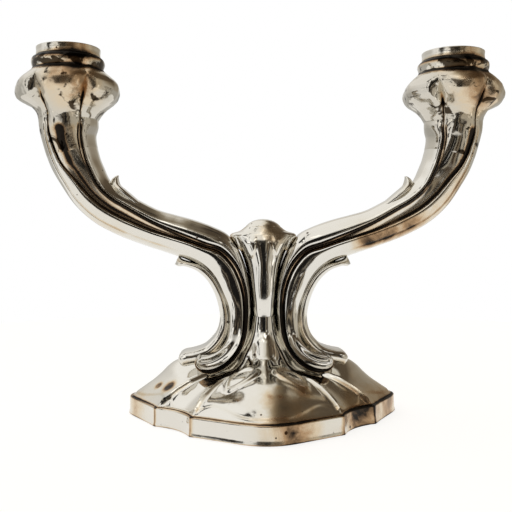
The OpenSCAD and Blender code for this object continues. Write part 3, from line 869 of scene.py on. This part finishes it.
# A low step runs round inside the rim: its way in at each corner, how far it bows in between, its height
MARGIN_WAY, MARGIN_STEP = (0.03, 0.07), 0.55
# The outline's corners are gone on the upper part of the dome; between these ways in they fade
SOFTENED, SMOOTHINGS = (0.35, 0.75), 300
BOSS_HEIGHT, BOSS_RING_HEIGHT = 0.4, 1.15
DOME_WALL, LINING_INSET = 2.6, 0.965


def foot_dome(name):
    levels = resampled(DOME_ROWS, DOME_LEVELS)
    way = levels[:, 0][None, :, None]
    size = np.linalg.norm(OUTLINE, axis=1)
    rim = OUTLINE * ((size - 0.9) / size)[:, None]
    bearing = np.degrees(np.arctan2(np.abs(OUTLINE[:, 0]), np.abs(OUTLINE[:, 1])))
    pulled = np.radians(bearing - CORNER_TURN * np.sin(np.radians(bearing * 2)) ** 2)
    across, deep = np.abs(np.sin(pulled)) ** DOME_TOP_SQUARE, np.abs(np.cos(pulled)) ** DOME_TOP_SQUARE
    top = np.sign(OUTLINE) * DOME_TOP * np.stack([across, deep], -1)
    soft = rim
    for _ in range(SMOOTHINGS):
        soft = (np.roll(soft, 1, 0) + 2 * soft + np.roll(soft, -1, 0)) / 4
    softness = ease(way, *SOFTENED)
    base = rim[:, None, :] * (1 - softness) + soft[:, None, :] * softness
    flat = base * (1 - way) + top[:, None, :] * way
    way = way[..., 0]
    to_side = (np.abs(OUTLINE[:, 0]) > np.abs(OUTLINE[:, 1]))[:, None]
    crest, low = np.where(to_side, levels[:, 2][None, :], levels[:, 1][None, :]), levels[:, 3][None, :]
    z = low + (crest - low) * ease(IN_LOBE**0.7, 0, 1)[:, None]
    step = np.linalg.norm(np.roll(flat, -1, 0) - flat, axis=-1)
    off_corner = TO_CORNER[:, None] * (step + np.roll(step, 1, 0)) / 2
    fade = ease(way, 0.005, 0.04) * (1 - ease(way, 0.46, 0.66))
    z = z + RIDGE_HEIGHT * bell(off_corner, RIDGE_WIDTH) * fade - PANEL_DIP * IN_PANEL[:, None] * fade
    bow = np.sin(math.pi * (1 - np.maximum(IN_LOBE, IN_PANEL)) ** 1.9)[:, None]
    margin = MARGIN_WAY[0] + MARGIN_WAY[1] * bow
    z = z + MARGIN_STEP * (ease(way, margin - 0.012, margin + 0.012) - ease(way, 0.3, 0.6))
    x, y = flat[..., 0], flat[..., 1]
    boss, boss_ring = teardrops(x, y)
    z = z + BOSS_HEIGHT * boss + BOSS_RING_HEIGHT * boss_ring
    z = z + 0.16 * waves(np.stack([x, y, z], -1), 30, 3) * ease(way, 0.03, 0.2)
    outer = np.stack([x, y, z], -1)
    inner_levels = np.linspace(1, 0, DOME_LINING_LEVELS)
    inner_way = inner_levels[None, :, None]
    inner_flat = (rim * LINING_INSET)[:, None, :] * (1 - inner_way) + (top * 0.7)[:, None, :] * inner_way
    inner_z = np.interp(inner_levels, levels[:, 0], levels[:, 3]) - DOME_WALL
    inner_z[-1] = levels[0, 1] - 0.3
    inner_z = np.broadcast_to(inner_z[None, :, None], inner_flat.shape[:2] + (1,))
    grid = np.concatenate([outer, np.concatenate([inner_flat, inner_z], -1)], 1)
    darkness = 1.2 * bell(way, 0.009) + 0.6 * bell(off_corner - 1.3, 0.5) * fade * (1 - ease(way, 0.3, 0.45))
    darkness = darkness + 0.3 * bell(way - margin, 0.012) + 0.3 * boss_ring
    darkness = np.concatenate([darkness, np.full((len(OUTLINE), DOME_LINING_LEVELS), 0.6)], 1)
    return grid_piece(name, grid, darkness, closed_rings=True, face=BACK, sharp_angle=60)


# Centre, long half, short half and slant of the teardrop bosses on the front and back lobes
TEARDROP = ((12.8, 36.2), 8.2, 5.8, 50)


def teardrops(x, y):
    """Shares of the height and of the ring of four teardrop bosses, two each on the front and back lobes."""
    (cx, cy), long_half, short_half, slant = TEARDROP
    u, v = np.abs(x) - cx, np.abs(y) - cy
    c, s = math.cos(math.radians(slant)), math.sin(math.radians(slant))
    a = (u * c + v * s) / long_half
    b = (-u * s + v * c) / short_half
    waist = np.clip(1 - 0.38 * a, 0.35, 1.6)
    r = np.sqrt(a**2 + (b / waist) ** 2)
    return 1 - ease(r, 0.72, 1.0), bell(r - 1.0, 0.19)


OUTLINE_REACH, RIM_FLARE_MOST = 68.1, 1.1


def foot_rim(name):
    unit = OUTLINE / np.linalg.norm(OUTLINE, axis=1)[:, None]
    flare = min(rim_high[0] - OUTLINE_REACH, RIM_FLARE_MOST)
    corners = [
        [-1.2, RIM_TOP - 0.5],
        [-0.2, RIM_TOP + 0.15],
        [0.5, RIM_TOP - 0.5],
        [0.55, RIM_TOP * 0.55],
        [0.65, RIM_BOTTOM + 2.0],
        [flare - 0.2, RIM_BOTTOM + 0.8],
        [flare - 0.05, RIM_BOTTOM],
        [flare - 1.4, RIM_BOTTOM],
        [-1.2, RIM_TOP * 0.5],
    ]
    profile = rounded(corners, 0.5, 6)
    out, height = profile[None, :, 0], profile[None, :, 1]
    xy = OUTLINE[:, None, :] + unit[:, None, :] * out[..., None]
    grid = np.concatenate([xy, np.broadcast_to(height, xy.shape[:2])[..., None]], -1)
    wobble = 0.18 * waves(grid, 34, 9) * (out > -0.5)
    grid[..., :2] += unit[:, None, :] * wobble[..., None]
    darkness = bell(height - RIM_TOP, 0.45) + bell(height - RIM_BOTTOM, 0.5) + bell(TO_CORNER, 1.2)[:, None]
    return grid_piece(name, grid, 0.8 * darkness, closed_rings=True, face=BACK, sharp_angle=60)


# ---- column ----

# Half width, half depth, height, and how sharp the front ridge stands, from the dome to the cap
COLUMN_ROWS = [
    [6.4, 13.0, 38.0, 0],
    [6.3, 13.1, 42, 0],
    [6.2, 13.2, 47, 0],
    [6.0, 13.2, 53, 0],
    [6.0, 13.2, 59, 0.2],
    [7.0, 13.3, 67, 0.15],
    [8.9, 13.4, 75, 0.1],
    [11.2, 13.4, 82, 0],
    [13.4, 13.1, 86, 0],
    [15.4, 12.6, 88.6, 0],
    [16.8, 12.0, 90.4, 0],
    [17.0, 11.6, 91.5, 0],
    [16.2, 11.2, 92.3, 0],
    [14.4, 10.9, 92.9, 0],
    [12.4, 10.6, 93.5, 0],
    [10.9, 10.1, 94.4, 0],
    [9.9, 9.6, 95.2, 0],
    [9.0, 9.0, 95.9, 0],
]
# Bearing from the front, height of the tip and half width in degrees of each petal under the shoulders
COLUMN_PETALS = [(33, 80, 20), (-33, 80, 20), (71, 83, 18), (-71, 83, 18)]
PETAL_RELIEF = 1.1


def petal_relief(bearing, height):
    """How far the petals stand out of the column at each bearing and height, and their outline's share."""
    total, edge = np.zeros(bearing.shape), np.zeros(bearing.shape)
    for centre, tip, half in COLUMN_PETALS:
        q = np.abs(bearing - centre) / half
        lower = tip + 8 * q**1.6
        body = np.clip(1 - q**2.2, 0, 1) * ease(height, lower - 0.4, lower + 1.6)
        total = np.maximum(total, body)
        edge = np.maximum(edge, bell(height - lower, 0.9) * (q < 1) + bell(q - 1, 0.14) * (height > lower))
    return total, edge


COLUMN_STATIONS, COLUMN_RING = 220, 112


def column_power(height):
    """How square the column is: most at the waist, round under the cap."""
    return 2.5 + 0.7 * ease(height, 47, 60) - 1.1 * ease(height, 62, 78) - 0.1 * ease(height, 87, 94)


def column_half(name, face):
    angle = np.linspace(0, math.pi, COLUMN_RING)
    n = -np.cos(angle)
    front = bell(n, 0.30) * 0.8 - bell(np.abs(n) - 0.52, 0.20) * 0.5
    grid, darkness = [], []
    for half_width, half_depth, height, ridge in resampled(COLUMN_ROWS, COLUMN_STATIONS):
        share = 2 / column_power(height)
        x = np.sign(n) * np.abs(n) ** share * half_width
        y = np.sin(angle) ** share * half_depth + ridge * front
        petals, edge = petal_relief(np.degrees(angle) - 90, height)
        fade = 1 - ease(height, 86.5, 93.5)
        grown = 1 + PETAL_RELIEF * petals * fade / (np.sqrt(x**2 + y**2) + 1e-6)
        inner_x = -np.cos(angle[::-6]) * (half_width - WALL)
        inner_y = np.sin(angle[::-6]) * (half_depth - WALL - 0.6)
        inner_z = np.full(len(inner_x), height - WALL * ease(height, 88, 91))
        xs, ys = np.concatenate([x * grown, inner_x]), np.concatenate([y * grown, inner_y])
        grid.append(np.stack([xs, -ys, np.concatenate([np.full(COLUMN_RING, height), inner_z])], -1))
        dark_marks = 1.3 * bell(np.abs(n) - 1, 0.06) + 0.35 * edge * fade
        darkness.append(np.concatenate([dark_marks, np.full(len(inner_x), 0.5)]))
    grid = np.array(grid)
    outer = grid[:, :COLUMN_RING]
    outer[..., 1] -= 0.10 * waves(outer * [1, -face, 1], 18, 41) * (np.abs(outer[..., 1]) > 1)
    return grid_piece(name, grid, np.array(darkness), face=face, sharp_angle=55)


# Depth below the top of the cap and radius
CAP_ROWS = [[5.4, 9.2], [4.4, 9.3], [3.8, 9.0], [3.2, 8.5], [2.4, 7.6]]
CAP_ROWS += [[1.6, 6.4], [0.9, 5.0], [0.4, 3.4], [0.1, 1.7], [0.0, 0.02]]
CAP_FLOOR = 6.4


def column_cap(name):
    profile = np.vstack([resampled(CAP_ROWS, 60), [[CAP_FLOOR, 0.02], [CAP_FLOOR, 8.4]]])
    darkness = 0.5 * bell(profile[:, 0] - 4.4, 0.5)
    outline = np.stack([profile[:, 1], CAP_TOP - profile[:, 0]], -1)
    return lathe_piece(name, outline, 0, 0.05, darkness, turns=144)


# ---- put the pieces on their bodies ----


def plated(piece, *nodes):
    finish_piece(piece, "stand", "silver_plate", plate, *nodes)


plated(foot_dome("foot_dome_shell"), "foot_dome")
finish_piece(foot_rim("foot_rim_band"), "stand", "worn_plate", worn_plate, "foot_rim")
plated(column_half("column_front_shell", FRONT), "column_front")
plated(column_half("column_back_shell", BACK), "column_back")
plated(column_cap("column_cap_dome"), "column_cap")

for side, word in ((LEFT, "left"), (RIGHT, "right")):
    plated(arm_half(f"{word}_arm_front_shell", side, FRONT), f"{word}_arm_front")
    plated(arm_half(f"{word}_arm_back_shell", side, BACK), f"{word}_arm_back", f"{word}_scroll_foot")
    plated(c_strip(f"{word}_c_strip", side), f"{word}_lower_leaf")
    plated(upper_leaf(f"{word}_leaf_tip", side), f"{word}_upper_leaf")
    finish_piece(calyx(f"{word}_calyx_bell", side), "stand", "worn_plate", socket_plate, f"{word}_calyx")
    ring = collar(f"{word}_collar_ring", side)
    finish_piece(ring, "stand", "silver_plate", reflection_darkened_plate, f"{word}_collar")
    cup = nozzle(f"{word}_nozzle_cup", side)
    finish_piece(cup, f"{word}_cup", "worn_plate", worn_plate, f"{word}_nozzle")

HIDDEN_WORKS = [
    (steel, ["base_plate", "tie_rod", "tie_rod_washer", "left_socket_screw", "right_socket_screw"]),
    (brass, ["tie_rod_nut", "left_liner", "right_liner", "left_ferrule", "right_ferrule"]),
    (iron, ["ballast"]),
    (felt, ["felt_pad"]),
]
for material, nodes in HIDDEN_WORKS:
    for node in nodes:
        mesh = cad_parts[node].data
        mesh.materials.clear()
        mesh.materials.append(material)


# ---- stage: floor, studio and camera ----


def floor_material():
    """A white sweep that glows evenly, so that its far edge doesn't show, yet takes a faint shadow."""
    material, _, shader, _ = new_material("floor_white")
    shader.inputs["Base Color"].default_value = (*grey(0.30), 1)
    shader.inputs["Roughness"].default_value = 1.0
    shader.inputs["Specular IOR Level"].default_value = 0.0
    shader.inputs["Emission Color"].default_value = (1.0, 0.99, 0.97, 1)
    shader.inputs["Emission Strength"].default_value = 0.84
    return material


def floor_disc(radius, corners=96):
    turns = [2 * math.pi * i / corners for i in range(corners)]
    points = [(radius * math.cos(a), radius * math.sin(a), 0) for a in turns]
    mesh = bpy.data.meshes.new("floor")
    mesh.from_pydata(points, [], [tuple(range(corners))])
    floor = bpy.data.objects.new("floor", mesh)
    bpy.context.scene.collection.objects.link(floor)
    mesh.materials.append(floor_material())


# Ramp stops: walls and ceiling from left to right, then what is behind the object from the floor up, on its
# bright side and on its dim side
WALLS = [
    (0.000, (0.95, 0.94, 0.92)),
    (0.285, (1.05, 1.04, 1.02)),
    (0.292, (0.03, 0.027, 0.024)),
    (0.330, (0.04, 0.035, 0.03)),
    (0.336, (0.20, 0.165, 0.125)),
    (0.352, (0.15, 0.12, 0.09)),
    (0.358, (0.015, 0.013, 0.012)),
    (0.396, (0.015, 0.013, 0.012)),
    (0.401, (0.24, 0.20, 0.15)),
    (0.413, (0.20, 0.165, 0.12)),
    (0.418, (0.012, 0.011, 0.01)),
    (0.572, (0.012, 0.011, 0.01)),
    (0.580, (0.42, 0.38, 0.31)),
    (0.606, (0.34, 0.30, 0.23)),
    (0.613, (0.045, 0.028, 0.016)),
    (0.655, (0.06, 0.036, 0.02)),
    (0.661, (0.34, 0.28, 0.20)),
    (0.680, (0.28, 0.23, 0.16)),
    (0.688, (0.02, 0.017, 0.014)),
    (0.725, (0.03, 0.025, 0.02)),
    (0.735, (0.55, 0.50, 0.42)),
    (1.000, (0.62, 0.58, 0.50)),
]
CEILING = [
    (0.00, (1.12, 1.11, 1.09)),
    (0.47, (1.06, 1.04, 1.00)),
    (0.53, (0.80, 0.76, 0.68)),
    (0.58, (0.30, 0.25, 0.18)),
    (0.66, (0.08, 0.06, 0.04)),
    (0.78, (0.12, 0.09, 0.06)),
    (1.00, (0.34, 0.28, 0.20)),
]
BACKDROP = [(0.0, (0.55, 0.54, 0.51)), (0.35, (0.78, 0.76, 0.72)), (0.60, (0.95, 0.92, 0.87))]
DIM_SIDE = [(0.0, (0.50, 0.48, 0.44)), (0.15, (0.44, 0.40, 0.33)), (0.50, (0.26, 0.21, 0.15))]


def studio_world():
    """What the metal mirrors: a bright wall on the left, a dim room on the right, a dark figure between."""
    world = bpy.data.worlds.new("studio")
    bpy.context.scene.world = world
    world.use_nodes = True
    sky = Graph(world.node_tree)
    background = world.node_tree.nodes["Background"]
    direction = sky.node("ShaderNodeTexCoord").outputs["Generated"]
    split = sky.node("ShaderNodeSeparateXYZ")
    sky.link(direction, split.inputs[0])
    x, y, z = split.outputs
    across, depth = sky.scaled(x, 0.5, 0.5), sky.scaled(y, 0.5, 0.5)
    walls = sky.ramp(across, WALLS)
    warped = sky.math("ADD", across, sky.past(sky.noise(direction, 1.9, 2, 0.5), 0.5, 0.34))
    ceiling = sky.ramp(warped, CEILING)
    clutter = sky.step(sky.noise(direction, 3.4, 3, 0.5), 0.42, 0.44, 1, 0)
    in_front = sky.step(depth, 0.34, 0.47, 1, 0)
    room = sky.mix(walls, (0.03, 0.025, 0.02), sky.math("MULTIPLY", clutter, in_front))
    backdrop = sky.mix(sky.ramp(z, BACKDROP), sky.ramp(z, DIM_SIDE), sky.step(across, 0.54, 0.68))
    room = sky.mix(room, backdrop, sky.step(depth, 0.50, 0.62))
    high = sky.step(z, 0.46, 0.60)
    room = sky.mix(room, ceiling, high)
    beams = sky.step(sky.noise(direction, 3.1, 2, 0.45, 0.6), 0.655, 0.67)
    room = sky.mix(room, (0.03, 0.026, 0.022), sky.math("MULTIPLY", beams, high))
    lamps = sky.step(sky.noise(direction, 4.7, 1, 0.4, 0.8), 0.655, 0.67)
    room = sky.mix(room, (1.7, 1.65, 1.55), sky.math("MULTIPLY", lamps, in_front))
    seen = sky.node("ShaderNodeLightPath").outputs["Is Camera Ray"]
    sky.link(sky.mix(room, (1.0, 1.0, 1.0), seen), background.inputs["Color"])


EYE_DISTANCE = 0.380
EYE_HEIGHT = 0.0935
EYE_TURN = math.radians(2.5)


def photo_camera():
    data = bpy.data.cameras.new("camera")
    data.sensor_width = 36
    data.lens = 51.38
    data.shift_x = -0.0137
    data.shift_y = -0.0485
    camera = bpy.data.objects.new("camera", data)
    bpy.context.scene.collection.objects.link(camera)
    camera.location = (-EYE_DISTANCE * math.sin(EYE_TURN), -EYE_DISTANCE * math.cos(EYE_TURN), EYE_HEIGHT)
    camera.rotation_euler = (math.pi / 2, 0, -EYE_TURN)
    bpy.context.scene.camera = camera


floor_disc(0.45)
studio_world()
photo_camera()
bpy.context.scene.view_settings.view_transform = "Standard"
